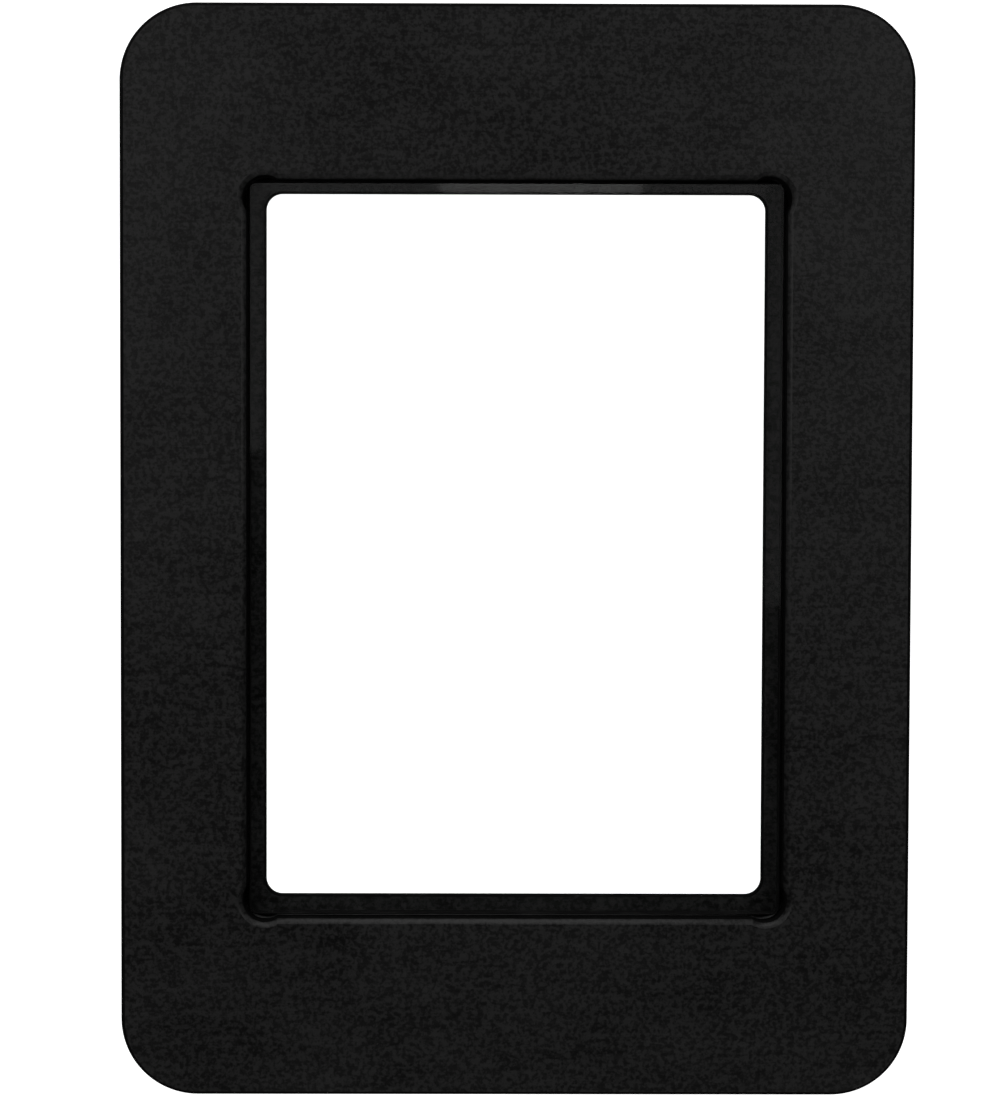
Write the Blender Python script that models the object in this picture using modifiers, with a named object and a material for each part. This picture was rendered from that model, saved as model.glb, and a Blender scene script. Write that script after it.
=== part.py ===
"""Glass negative carrier for large-format sheet film.

Two flat plates lie on each other and clamp the film between two loose panes of glass.
The lower plate has a rebate round its film window, and the lower pane lies on the ledge
that the rebate leaves. The upper pane lies on the film, inside the full opening of the
upper plate. Dowels line the plates up and pairs of disc magnets hold them together.

Metres, +Z up. X is across the film and Y along it. The origin is under the middle of the
lower plate, on the surface that the carrier rests on. The far end is the one at +Y.
"""

import math

import bmesh
import bpy

MM = 0.001

# Film window in the lower plate, and the ledge that carries the lower pane, which is
# narrower at the far end
WINDOW_WIDTH = 129.3 * MM
WINDOW_LENGTH = 182.4 * MM
WINDOW_CORNER_RADIUS = 4.2 * MM
SIDE_LEDGE = 4.6 * MM
FAR_LEDGE = 2.9 * MM
NEAR_LEDGE = 4.7 * MM
LEDGE_THICKNESS = 2.7 * MM

# Flat border round the opening, and the outside of both plates
SIDE_BORDER = 32.25 * MM
FAR_BORDER = 44.7 * MM
NEAR_BORDER = 45.7 * MM
PLATE_CORNER_RADIUS = 19.7 * MM
UPPER_PLATE_THICKNESS = 5.0 * MM
EDGE_CHAMFER = 0.7 * MM
LEDGE_CHAMFER = 0.3 * MM

# Round reliefs in the opening's corners, milled a little past both walls
RELIEF_RADIUS = 5.8 * MM
RELIEF_BULGE = 1.0 * MM

# Panes
PANE_THICKNESS = 2.0 * MM
PANE_CORNER_RADIUS = 2.0 * MM
PANE_SIDE_CLEARANCE = 0.4 * MM
PANE_ARRIS = 0.35 * MM
FILM_GAP = 0.3 * MM

# Locating dowels
DOWEL_DIAMETER = 4.0 * MM
DOWEL_NOSE = 0.8 * MM
DOWEL_BASE_CHAMFER = 0.3 * MM
DOWEL_FLOOR = 0.7 * MM
DOWEL_SKIN = 1.2 * MM

# Disc magnets
MAGNET_DIAMETER = 8.0 * MM
MAGNET_THICKNESS = 2.0 * MM
MAGNET_EDGE = 0.25 * MM
MAGNET_PITCH = 70.0 * MM
MAGNETS_PER_SIDE = 3

# Finger notches through the ends of the lower plate, under the edge of the upper one
NOTCH_WIDTH = 38.0 * MM
NOTCH_DEPTH = 7.0 * MM

# Gap between pieces that touch, and how far a cutter stands clear of what it cuts
SEAT_GAP = 0.3 * MM
CUTTER_OVERRUN = 2.0 * MM

# Facets
PLATE_CORNER_STEPS = 14
WINDOW_CORNER_STEPS = 8
PANE_CORNER_STEPS = 6
RELIEF_STEPS = 16
ROUND_STEPS = 32
NOSE_STEPS = 4
NOTCH_STEPS = 96

# Worked out from the sizes above
OPENING_WIDTH = WINDOW_WIDTH + 2 * SIDE_LEDGE
OPENING_LENGTH = WINDOW_LENGTH + FAR_LEDGE + NEAR_LEDGE
PLATE_WIDTH = OPENING_WIDTH + 2 * SIDE_BORDER
PLATE_LENGTH = OPENING_LENGTH + FAR_BORDER + NEAR_BORDER
OPENING_MIDDLE = (NEAR_BORDER - FAR_BORDER) / 2
WINDOW_MIDDLE = OPENING_MIDDLE + (NEAR_LEDGE - FAR_LEDGE) / 2
PANE_WIDTH = OPENING_WIDTH - 2 * PANE_SIDE_CLEARANCE
PANE_LENGTH = OPENING_LENGTH - 2 * PANE_SIDE_CLEARANCE

LOWER_PANE_BASE = LEDGE_THICKNESS + SEAT_GAP
LOWER_PLATE_TOP = LOWER_PANE_BASE + PANE_THICKNESS
UPPER_PANE_BASE = LOWER_PLATE_TOP + FILM_GAP
UPPER_PLATE_BASE = LOWER_PLATE_TOP + SEAT_GAP
UPPER_PLATE_TOP = UPPER_PLATE_BASE + UPPER_PLATE_THICKNESS

SIDE_BORDER_MIDDLE = (PLATE_WIDTH - SIDE_BORDER) / 2
FAR_BORDER_MIDDLE = (PLATE_LENGTH - FAR_BORDER) / 2
NEAR_BORDER_MIDDLE = -(PLATE_LENGTH - NEAR_BORDER) / 2

ANODISED_BLACK = (0.0105, 0.0105, 0.011, 1.0)
CLEAR_GLASS = (0.86, 0.93, 0.90, 1.0)
STAINLESS = (0.56, 0.56, 0.55, 1.0)
NICKEL = (0.66, 0.64, 0.60, 1.0)


# --- Scene -------------------------------------------------------------------------------


def clear_scene():
    for old in list(bpy.data.objects):
        bpy.data.objects.remove(old, do_unlink=True)


def new_collection(name):
    made = bpy.data.collections.new(name)
    bpy.context.scene.collection.children.link(made)
    return made


def finish_material(name, colour, roughness, metallic, transmission=0.0):
    material = bpy.data.materials.new(name)
    material.use_nodes = True
    material.diffuse_color = colour
    shader = material.node_tree.nodes["Principled BSDF"]
    shader.inputs["Base Color"].default_value = colour
    shader.inputs["Roughness"].default_value = roughness
    shader.inputs["Metallic"].default_value = metallic
    shader.inputs["Transmission Weight"].default_value = transmission
    return material


def place(obj, group):
    for owner in list(obj.users_collection):
        owner.objects.unlink(obj)
    group.objects.link(obj)
    return obj


def make_cutter(obj, group):
    obj.display_type = "WIRE"
    obj.hide_render = True
    return place(obj, group)


# --- Shapes ------------------------------------------------------------------------------


def corner_outline(width, length, middle, inset, radius, overrun, steps):
    """Rectangle with an arc about a centre set in from each corner, anticlockwise.

    middle is where it lies along Y, and overrun is how far each arc turns on past the two
    walls that it joins.
    """
    points = []
    for corner in range(4):
        diagonal = math.radians(45 + 90 * corner)
        side_x = math.copysign(1, math.cos(diagonal))
        side_y = math.copysign(1, math.sin(diagonal))
        centre_x = side_x * (width / 2 - inset)
        centre_y = middle + side_y * (length / 2 - inset)
        half_turn = math.radians(45) + overrun
        for step in range(steps + 1):
            angle = diagonal - half_turn + 2 * half_turn * step / steps
            x = centre_x + radius * math.cos(angle)
            y = centre_y + radius * math.sin(angle)
            points.append((x, y))
    return points


def rounded_rectangle(width, length, middle, radius, steps):
    return corner_outline(width, length, middle, radius, radius, 0.0, steps)


def plate_outline():
    return rounded_rectangle(
        PLATE_WIDTH, PLATE_LENGTH, 0.0, PLATE_CORNER_RADIUS, PLATE_CORNER_STEPS
    )


def window_outline():
    return rounded_rectangle(
        WINDOW_WIDTH,
        WINDOW_LENGTH,
        WINDOW_MIDDLE,
        WINDOW_CORNER_RADIUS,
        WINDOW_CORNER_STEPS,
    )


def opening_outline():
    """Opening with a round relief in each corner that bulges past both of its walls."""
    inset = RELIEF_RADIUS - RELIEF_BULGE
    return corner_outline(
        OPENING_WIDTH,
        OPENING_LENGTH,
        OPENING_MIDDLE,
        inset,
        RELIEF_RADIUS,
        math.acos(inset / RELIEF_RADIUS),
        RELIEF_STEPS,
    )


def extruded(name, outlines, base, top):
    """Mesh object of a flat outline, with any openings in it, between two heights."""
    curve = bpy.data.curves.new(name, "CURVE")
    curve.dimensions = "2D"
    curve.fill_mode = "BOTH"
    curve.extrude = (top - base) / 2
    for outline in outlines:
        spline = curve.splines.new("POLY")
        spline.points.add(len(outline) - 1)
        for point, (x, y) in zip(spline.points, outline):
            point.co = (x, y, 0.0, 1.0)
        spline.use_cyclic_u = True
    guide = bpy.data.objects.new(name + "_outline", curve)
    guide.location.z = (base + top) / 2
    bpy.context.scene.collection.objects.link(guide)
    bpy.context.view_layer.update()

    depsgraph = bpy.context.evaluated_depsgraph_get()
    mesh = bpy.data.meshes.new_from_object(guide.evaluated_get(depsgraph))
    mesh.name = name
    mesh.transform(guide.matrix_world)
    bpy.data.objects.remove(guide)
    bpy.data.curves.remove(curve)

    shape = bmesh.new()
    shape.from_mesh(mesh)
    bmesh.ops.remove_doubles(shape, verts=shape.verts, dist=0.01 * MM)
    bmesh.ops.recalc_face_normals(shape, faces=shape.faces)
    shape.to_mesh(mesh)
    shape.free()
    return bpy.data.objects.new(name, mesh)


def cylinder(name, radius, base, top, x, y, steps):
    mesh = bpy.data.meshes.new(name)
    shape = bmesh.new()
    bmesh.ops.create_cone(
        shape,
        cap_ends=True,
        segments=steps,
        radius1=radius,
        radius2=radius,
        depth=top - base,
    )
    shape.to_mesh(mesh)
    shape.free()
    obj = bpy.data.objects.new(name, mesh)
    obj.location = (x, y, (base + top) / 2)
    return obj


def cut(obj, cutter):
    boolean = obj.modifiers.new(cutter.name, "BOOLEAN")
    boolean.operation = "DIFFERENCE"
    boolean.solver = "EXACT"
    boolean.object = cutter


def bake_modifiers(obj):
    """Turns an object's modifiers into plain mesh."""
    bpy.context.view_layer.update()
    depsgraph = bpy.context.evaluated_depsgraph_get()
    plain = bpy.data.meshes.new_from_object(obj.evaluated_get(depsgraph))
    obj.modifiers.clear()
    obj.data = plain


def in_window(point):
    near = 0.01 * MM
    across = abs(point.x) < WINDOW_WIDTH / 2 + near
    return across and abs(point.y - WINDOW_MIDDLE) < WINDOW_LENGTH / 2 + near


def chamfer_rims(obj, width, window_share=1.0):
    """Chamfers every edge that runs level round a flat piece.

    Edges of the film window get only that share of the chamfer's width.
    """
    shape = bmesh.new()
    shape.from_mesh(obj.data)
    bmesh.ops.dissolve_limit(
        shape, angle_limit=math.radians(0.5), verts=shape.verts, edges=shape.edges
    )
    weights = shape.edges.layers.float.new("bevel_weight_edge")
    for edge in shape.edges:
        first, second = edge.verts
        level = abs(first.co.z - second.co.z) < 0.01 * MM
        if level and edge.calc_face_angle(0.0) > math.radians(60):
            inside = in_window(first.co) and in_window(second.co)
            edge[weights] = window_share if inside else 1.0
    shape.to_mesh(obj.data)
    shape.free()

    bevel = obj.modifiers.new("chamfer", "BEVEL")
    bevel.limit_method = "WEIGHT"
    bevel.width = width
    bevel.segments = 1
    bevel.use_clamp_overlap = False


def set_finish(obj, material):
    obj.data.materials.clear()
    obj.data.materials.append(material)
    return obj


def shade_round(obj):
    obj.data.shade_smooth()
    obj.data.set_sharp_from_angle(angle=math.radians(30))


# --- Where the small pieces go -----------------------------------------------------------


def dowel_places():
    return [
        (side_x * SIDE_BORDER_MIDDLE, y)
        for y in (FAR_BORDER_MIDDLE, NEAR_BORDER_MIDDLE)
        for side_x in (-1, 1)
    ]


def magnet_places():
    middle = (MAGNETS_PER_SIDE - 1) / 2
    return [
        (side_x * SIDE_BORDER_MIDDLE, (middle - row) * MAGNET_PITCH)
        for row in range(MAGNETS_PER_SIDE)
        for side_x in (-1, 1)
    ]


def drill(plate, places, name, diameter, base, top, cutters):
    """Cuts a blind round hole, a seat gap wider than its piece, at each place."""
    for number, (x, y) in enumerate(places, start=1):
        hole = cylinder(
            f"{name}_{number}",
            diameter / 2 + SEAT_GAP,
            base,
            top,
            x,
            y,
            ROUND_STEPS,
        )
        cut(plate, make_cutter(hole, cutters))


# --- Plates ------------------------------------------------------------------------------


def lower_plate(parts, cutters, material):
    outlines = [plate_outline(), window_outline()]
    plate = extruded("lower_plate", outlines, 0.0, LOWER_PLATE_TOP)
    place(plate, parts)
    rebate = extruded(
        "rebate_cutter",
        [opening_outline()],
        LEDGE_THICKNESS,
        LOWER_PLATE_TOP + CUTTER_OVERRUN,
    )
    cut(plate, make_cutter(rebate, cutters))
    notch_radius = (NOTCH_WIDTH**2 / 4 + NOTCH_DEPTH**2) / (2 * NOTCH_DEPTH)
    for number, end in enumerate((1, -1), start=1):
        notch = cylinder(
            f"finger_notch_{number}",
            notch_radius,
            -CUTTER_OVERRUN,
            LOWER_PLATE_TOP + CUTTER_OVERRUN,
            0.0,
            end * (PLATE_LENGTH / 2 - NOTCH_DEPTH + notch_radius),
            NOTCH_STEPS,
        )
        cut(plate, make_cutter(notch, cutters))
    bake_modifiers(plate)
    shade_round(plate)
    chamfer_rims(plate, EDGE_CHAMFER, LEDGE_CHAMFER / EDGE_CHAMFER)

    above = LOWER_PLATE_TOP + CUTTER_OVERRUN
    drill(
        plate,
        dowel_places(),
        "lower_dowel_hole",
        DOWEL_DIAMETER,
        DOWEL_FLOOR,
        above,
        cutters,
    )
    drill(
        plate,
        magnet_places(),
        "lower_magnet_pocket",
        MAGNET_DIAMETER,
        LOWER_PLATE_TOP - MAGNET_THICKNESS - SEAT_GAP,
        above,
        cutters,
    )
    set_finish(plate, material)


def upper_plate(parts, cutters, material):
    outlines = [plate_outline(), opening_outline()]
    plate = extruded("upper_plate", outlines, UPPER_PLATE_BASE, UPPER_PLATE_TOP)
    place(plate, parts)
    shade_round(plate)
    chamfer_rims(plate, EDGE_CHAMFER)

    below = UPPER_PLATE_BASE - CUTTER_OVERRUN
    drill(
        plate,
        dowel_places(),
        "upper_dowel_hole",
        DOWEL_DIAMETER,
        below,
        UPPER_PLATE_TOP - DOWEL_SKIN,
        cutters,
    )
    drill(
        plate,
        magnet_places(),
        "upper_magnet_pocket",
        MAGNET_DIAMETER,
        below,
        UPPER_PLATE_BASE + MAGNET_THICKNESS + SEAT_GAP,
        cutters,
    )
    set_finish(plate, material)


# --- Panes -------------------------------------------------------------------------------


def pane(name, base, parts, material):
    """Sheet of glass with its corners ground round and its sharp edges taken off."""
    outline = rounded_rectangle(
        PANE_WIDTH, PANE_LENGTH, OPENING_MIDDLE, PANE_CORNER_RADIUS, PANE_CORNER_STEPS
    )
    sheet = extruded(name, [outline], base, base + PANE_THICKNESS)
    place(sheet, parts)
    chamfer_rims(sheet, PANE_ARRIS)
    set_finish(sheet, material)


# --- Dowels and magnets ------------------------------------------------------------------


def turned(name, profile):
    """Mesh of a profile of (radius, height) points, listed down its outer side."""
    wire = bpy.data.meshes.new(name)
    wire.from_pydata(
        [(across, 0.0, up) for across, up in profile],
        [(i, i + 1) for i in range(len(profile) - 1)],
        [],
    )
    guide = bpy.data.objects.new(name, wire)
    bpy.context.scene.collection.objects.link(guide)
    turn = guide.modifiers.new("turned", "SCREW")
    turn.angle = math.radians(360)
    turn.steps = ROUND_STEPS
    turn.render_steps = ROUND_STEPS
    turn.use_merge_vertices = True
    turn.merge_threshold = 0.01 * MM
    bake_modifiers(guide)
    shade_round(guide)
    mesh = guide.data
    bpy.data.objects.remove(guide)
    return mesh


def dowel_mesh():
    """Pin with a rounded nose and a chamfered foot, which stands at z = 0."""
    radius = DOWEL_DIAMETER / 2
    height = UPPER_PLATE_TOP - DOWEL_SKIN - DOWEL_FLOOR - 2 * SEAT_GAP
    flat = radius - DOWEL_NOSE
    profile = [(0.0, height)]
    for step in range(NOSE_STEPS + 1):
        angle = math.radians(90) * (1 - step / NOSE_STEPS)
        across = flat + DOWEL_NOSE * math.cos(angle)
        up = height - DOWEL_NOSE + DOWEL_NOSE * math.sin(angle)
        profile.append((across, up))
    profile.append((radius, DOWEL_BASE_CHAMFER))
    profile.append((radius - DOWEL_BASE_CHAMFER, 0.0))
    profile.append((0.0, 0.0))
    return turned("locating_dowel", profile)


def dowels(parts, material):
    mesh = dowel_mesh()
    mesh.materials.append(material)
    for number, (x, y) in enumerate(dowel_places(), start=1):
        pin = bpy.data.objects.new(f"locating_dowel_{number}", mesh)
        pin.location = (x, y, DOWEL_FLOOR + SEAT_GAP)
        place(pin, parts)


def magnets(layer, base, parts, material):
    """One plate's magnets, numbered like the ones that they meet in the other plate."""
    for number, (x, y) in enumerate(magnet_places(), start=1):
        disc = cylinder(
            f"{layer}_magnet_{number}",
            MAGNET_DIAMETER / 2,
            base,
            base + MAGNET_THICKNESS,
            x,
            y,
            ROUND_STEPS,
        )
        place(disc, parts)
        bevel = disc.modifiers.new("rounded_edge", "BEVEL")
        bevel.width = MAGNET_EDGE
        bevel.segments = 1
        bevel.angle_limit = math.radians(60)
        set_finish(disc, material)
        shade_round(disc)


def main():
    clear_scene()
    parts = new_collection("negative_carrier")
    cutters = new_collection("cutters")

    lower_plate(
        parts, cutters, finish_material("lower_plate_black", ANODISED_BLACK, 0.5, 0.2)
    )
    upper_plate(
        parts, cutters, finish_material("upper_plate_black", ANODISED_BLACK, 0.5, 0.2)
    )
    pane(
        "lower_glass",
        LOWER_PANE_BASE,
        parts,
        finish_material("lower_glass_clear", CLEAR_GLASS, 0.02, 0.0, 1.0),
    )
    pane(
        "upper_glass",
        UPPER_PANE_BASE,
        parts,
        finish_material("upper_glass_etched", CLEAR_GLASS, 0.12, 0.0, 1.0),
    )
    dowels(parts, finish_material("dowel_steel", STAINLESS, 0.28, 1.0))
    nickel = finish_material("magnet_nickel", NICKEL, 0.22, 1.0)
    magnets("lower", LOWER_PLATE_TOP - MAGNET_THICKNESS, parts, nickel)
    magnets("upper", UPPER_PLATE_BASE, parts, nickel)


main()
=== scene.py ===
"""Glass negative carrier for sheet film.

Two black anodised plates clamp the film between two loose panes. Dowels line the plates up
and pairs of disc magnets hold them together. Metres, +Z up, +Y towards the far end, where
the ledge round the film window is narrower.
"""

import math
from collections import namedtuple
from functools import partial

import bmesh
import bpy
from bpy.props import FloatProperty, FloatVectorProperty, IntProperty, PointerProperty
from mathutils import Euler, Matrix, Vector


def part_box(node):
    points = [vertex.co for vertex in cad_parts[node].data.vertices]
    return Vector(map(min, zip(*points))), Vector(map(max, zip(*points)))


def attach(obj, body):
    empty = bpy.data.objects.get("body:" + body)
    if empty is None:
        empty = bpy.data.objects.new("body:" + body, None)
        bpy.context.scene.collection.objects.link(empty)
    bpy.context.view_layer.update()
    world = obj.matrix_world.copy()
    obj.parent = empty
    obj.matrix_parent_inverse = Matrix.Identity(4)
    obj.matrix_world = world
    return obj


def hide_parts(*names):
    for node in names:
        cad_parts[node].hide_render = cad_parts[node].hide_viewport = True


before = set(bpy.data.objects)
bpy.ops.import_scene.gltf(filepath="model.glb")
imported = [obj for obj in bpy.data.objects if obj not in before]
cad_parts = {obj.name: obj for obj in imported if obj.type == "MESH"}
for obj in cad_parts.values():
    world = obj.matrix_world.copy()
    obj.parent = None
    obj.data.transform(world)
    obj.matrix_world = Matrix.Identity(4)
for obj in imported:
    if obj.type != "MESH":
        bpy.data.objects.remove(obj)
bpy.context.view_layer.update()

bl_info = {
    "name": "Glass Negative Carrier",
    "version": (1, 0, 0),
    "blender": (4, 5, 0),
    "location": "View3D > Sidebar > Carrier",
    "description": "Builds a glass negative carrier and a plain studio to show it in",
    "category": "Add Mesh",
}

MM = 0.001

# What the frame settles
LOWER_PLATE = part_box("lower_plate")
UPPER_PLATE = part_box("upper_plate")
UPPER_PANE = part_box("upper_glass")
DOWELS = sorted(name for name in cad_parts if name.startswith("locating_dowel"))
LOWER_MAGNETS = sorted(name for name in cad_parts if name.startswith("lower_magnet"))
UPPER_MAGNETS = sorted(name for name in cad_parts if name.startswith("upper_magnet"))
HARDWARE_COLUMNS = 2    # the dowels and the magnets stand in rows of two
PLATE_WIDTH, PLATE_LENGTH = (UPPER_PLATE[1] - UPPER_PLATE[0]).xy
PANE_WIDTH, PANE_LENGTH = (UPPER_PANE[1] - UPPER_PANE[0]).xy
OPENING_MIDDLE = (UPPER_PANE[0].y + UPPER_PANE[1].y) / 2


# --- Sizes and colours that can be set -----------------------------------------------------


class CarrierPlateSizes(bpy.types.PropertyGroup):
    """Sizes of the two plates that the frame's boxes don't give."""

    corner_radius: FloatProperty(
        name="Corner Radius",
        description="Radius of the plates' outside corners",
        default=19.7 * MM,
        min=1.0 * MM,
        unit="LENGTH",
    )
    window_width: FloatProperty(
        name="Window Width",
        description="Width of the film window across the film",
        default=129.3 * MM,
        min=10.0 * MM,
        unit="LENGTH",
    )
    window_length: FloatProperty(
        name="Window Length",
        description="Length of the film window along the film",
        default=182.4 * MM,
        min=10.0 * MM,
        unit="LENGTH",
    )
    window_middle: FloatProperty(
        name="Window Middle",
        description="How far the film window lies towards the far end",
        default=1.4 * MM,
        unit="LENGTH",
    )
    window_corner: FloatProperty(
        name="Window Corner",
        description="Radius of the film window's corners",
        default=4.2 * MM,
        min=0.5 * MM,
        unit="LENGTH",
    )
    ledge_height: FloatProperty(
        name="Ledge Height",
        description="Height of the ledge that carries the lower pane",
        default=2.7 * MM,
        min=0.5 * MM,
        unit="LENGTH",
    )
    pane_clearance: FloatProperty(
        name="Pane Clearance",
        description="Gap between a pane's side and the wall of the opening",
        default=0.4 * MM,
        min=0.0,
        unit="LENGTH",
    )
    relief_radius: FloatProperty(
        name="Relief Radius",
        description="Radius of the cutter's round relief in each corner of the opening",
        default=5.8 * MM,
        min=0.5 * MM,
        unit="LENGTH",
    )
    relief_bulge: FloatProperty(
        name="Relief Bulge",
        description="How far a corner relief is milled past both walls",
        default=1.0 * MM,
        min=0.0,
        unit="LENGTH",
    )
    notch_width: FloatProperty(
        name="Notch Width",
        description="Width of the finger notches in the lower plate's ends",
        default=38.0 * MM,
        min=5.0 * MM,
        unit="LENGTH",
    )
    notch_depth: FloatProperty(
        name="Notch Depth",
        description="Depth of the finger notches in the lower plate's ends",
        default=7.0 * MM,
        min=1.0 * MM,
        unit="LENGTH",
    )
    top_chamfer: FloatProperty(
        name="Top Chamfer",
        description="Width of the chamfers on the carrier's top face",
        default=1.1 * MM,
        min=0.05 * MM,
        unit="LENGTH",
    )
    edge_chamfer: FloatProperty(
        name="Edge Chamfer",
        description="Width of the chamfers on the plates' other edges",
        default=0.7 * MM,
        min=0.05 * MM,
        unit="LENGTH",
    )
    window_chamfer: FloatProperty(
        name="Window Chamfer",
        description="Width of the chamfer round the film window",
        default=0.5 * MM,
        min=0.05 * MM,
        unit="LENGTH",
    )
    root_fillet: FloatProperty(
        name="Root Fillet",
        description="Fillet that the cutter's tip leaves between the wall and the ledge",
        default=0.25 * MM,
        min=0.02 * MM,
        unit="LENGTH",
    )
    hole_clearance: FloatProperty(
        name="Hole Clearance",
        description="Gap round a dowel or magnet in its hole",
        default=0.15 * MM,
        min=0.01 * MM,
        unit="LENGTH",
    )
    hole_chamfer: FloatProperty(
        name="Hole Chamfer",
        description="Width of the chamfer at the mouth of a hole",
        default=0.2 * MM,
        min=0.01 * MM,
        unit="LENGTH",
    )
    arc_steps: IntProperty(
        name="Arc Steps",
        description="Steps in each round corner",
        default=32,
        min=4,
    )
    rim_steps: IntProperty(
        name="Rim Steps",
        description="Steps across each chamfer",
        default=6,
        min=2,
    )


class CarrierGlassSizes(bpy.types.PropertyGroup):
    """Sizes of the panes that the frame's boxes don't give."""

    corner_radius: FloatProperty(
        name="Corner Radius",
        description="Radius that the panes' corners are ground to",
        default=2.0 * MM,
        min=0.5 * MM,
        unit="LENGTH",
    )
    arris: FloatProperty(
        name="Arris",
        description="Width of the ground bevel along the panes' edges",
        default=0.35 * MM,
        min=0.05 * MM,
        unit="LENGTH",
    )
    corner_steps: IntProperty(
        name="Corner Steps",
        description="Points in each round corner of a pane",
        default=12,
        min=2,
    )


class CarrierHardwareSizes(bpy.types.PropertyGroup):
    """Sizes of the dowels and magnets that the frame's boxes don't give."""

    dowel_nose: FloatProperty(
        name="Dowel Nose",
        description="Radius of the rounding at the top of a dowel",
        default=0.8 * MM,
        min=0.05 * MM,
        unit="LENGTH",
    )
    dowel_foot: FloatProperty(
        name="Dowel Foot",
        description="Radius of the rounding at the foot of a dowel",
        default=0.3 * MM,
        min=0.05 * MM,
        unit="LENGTH",
    )
    magnet_edge: FloatProperty(
        name="Magnet Edge",
        description="Radius of the rounding at a magnet's plated edges",
        default=0.25 * MM,
        min=0.05 * MM,
        unit="LENGTH",
    )
    sides: IntProperty(
        name="Sides",
        description="Sides of a round piece",
        default=64,
        min=12,
    )
    rings: IntProperty(
        name="Rings",
        description="Rings along a round piece, closest at its ends",
        default=22,
        min=6,
    )


class CarrierFinishes(bpy.types.PropertyGroup):
    """Colours and roughnesses of the finishes."""

    anodised_dark: FloatVectorProperty(
        name="Anodised Dark",
        description="Darkest tone of the black anodised aluminium",
        subtype="COLOR",
        default=(0.0005, 0.0005, 0.0005),
        min=0.0,
        max=1.0,
    )
    anodised_light: FloatVectorProperty(
        name="Anodised Light",
        description="Lightest tone of the black anodised aluminium",
        subtype="COLOR",
        default=(0.0200, 0.0200, 0.0200),
        min=0.0,
        max=1.0,
    )
    bare_metal: FloatVectorProperty(
        name="Bare Metal",
        description="Aluminium where an edge has worn through the black",
        subtype="COLOR",
        default=(0.030, 0.030, 0.030),
        min=0.0,
        max=1.0,
    )
    dust: FloatVectorProperty(
        name="Dust",
        description="Colour of the dust that settles on the carrier",
        subtype="COLOR",
        default=(0.09, 0.088, 0.085),
        min=0.0,
        max=1.0,
    )
    glass_tint: FloatVectorProperty(
        name="Glass Tint",
        description="Colour of light that passes through the panes",
        subtype="COLOR",
        default=(0.994, 0.998, 0.996),
        min=0.0,
        max=1.0,
    )
    # The ink on the panes' edges is partly a real blackened edge and partly painted shade for the dark
    # band along the walls.
    edge_ink_and_shade: FloatVectorProperty(
        name="Glass Edge",
        description="Colour of the ink on the panes' ground edges, which stops stray light",
        subtype="COLOR",
        default=(0.0050, 0.0050, 0.0050),
        min=0.0,
        max=1.0,
    )
    # Painted shade: the plates' walls and outer edges are painted near-black so that they show the
    # shade that falls on them.
    wall_shade_paint: FloatVectorProperty(
        name="Wall Paint",
        description="Colour of the matt paint on the plates' edges and inner walls",
        subtype="COLOR",
        default=(0.0025, 0.0025, 0.0025),
        min=0.0,
        max=1.0,
    )
    stainless: FloatVectorProperty(
        name="Stainless",
        description="Colour of the ground dowels",
        subtype="COLOR",
        default=(0.56, 0.56, 0.55),
        min=0.0,
        max=1.0,
    )
    nickel: FloatVectorProperty(
        name="Nickel",
        description="Colour of the magnets' plating",
        subtype="COLOR",
        default=(0.66, 0.64, 0.60),
        min=0.0,
        max=1.0,
    )


class CarrierStudio(bpy.types.PropertyGroup):
    """The floor, the lights and the camera."""

    floor_radius: FloatProperty(
        name="Floor Radius",
        description="Radius of the round floor",
        default=6.0,
        min=0.5,
        unit="LENGTH",
    )
    floor_glow: FloatProperty(
        name="Floor Glow",
        description="Light that the floor gives off by itself, which keeps it white",
        default=1.1,
        min=0.0,
    )
    surround: FloatProperty(
        name="Surround",
        description="Brightness of the room beyond the lamps",
        default=0.004,
        min=0.0,
    )
    camera_place: FloatVectorProperty(
        name="Camera Place",
        description="Where the camera is",
        subtype="TRANSLATION",
        default=(-0.0221, 0.03215, 0.400),
    )
    camera_turn: FloatVectorProperty(
        name="Camera Turn",
        description="Turn of the camera away from looking straight down",
        subtype="EULER",
        default=(math.radians(-1.29), math.radians(-0.157), math.radians(0.142)),
    )
    camera_lens: FloatProperty(
        name="Camera Lens",
        description="Focal length on a sensor that is 36 mm on its long side, in mm",
        default=49.92,
        min=10.0,
    )
    camera_shift: FloatVectorProperty(
        name="Camera Shift",
        description="Lens shift that frames the carrier as photographed",
        size=2,
        default=(0.06, -0.08),
    )


# --- Outlines and meshes -------------------------------------------------------------------

# rim is how much handling rubs a ring's points, from 0 to 1
Ring = namedtuple("Ring", "points height rim finish")

# Finishes of a plate's faces. A face takes the lower of its two rings' numbers.
# The paint finish is near-black and stands for the shade on the walls and outer edges: painted shade.
BRUSHED, MILLED, SHADE_PAINTED = 0, 1, 2
PLATE_FINISHES = ("brushed_black", "milled_black", "painted_shade_black")
# The paint on these chamfers and walls is near-black painted shade.
PAINTED_RIM = (BRUSHED, SHADE_PAINTED, SHADE_PAINTED)    # a brushed face with its chamfer and wall painted

UP, DOWN = 1, -1    # ways along Z

PAST_RIM = 0.06 * MM    # from a chamfer to the last points of the flat face beside it
CHAMFER_SOFTNESS = 0.3  # 0 is a flat chamfer and 1 a quarter round
FILLET_STEPS = 3
NOTCH_STEPS = 24
HOLE_SIDES = 64
HOLE_SPARE = 0.3 * MM   # depth of a hole beyond the dowel or magnet in it
DRILL_CLEAR = 2 * MM    # reach of a cutter out of the plate
SHARP_ANGLE = math.radians(32)
WELD = 0.002 * MM


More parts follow.
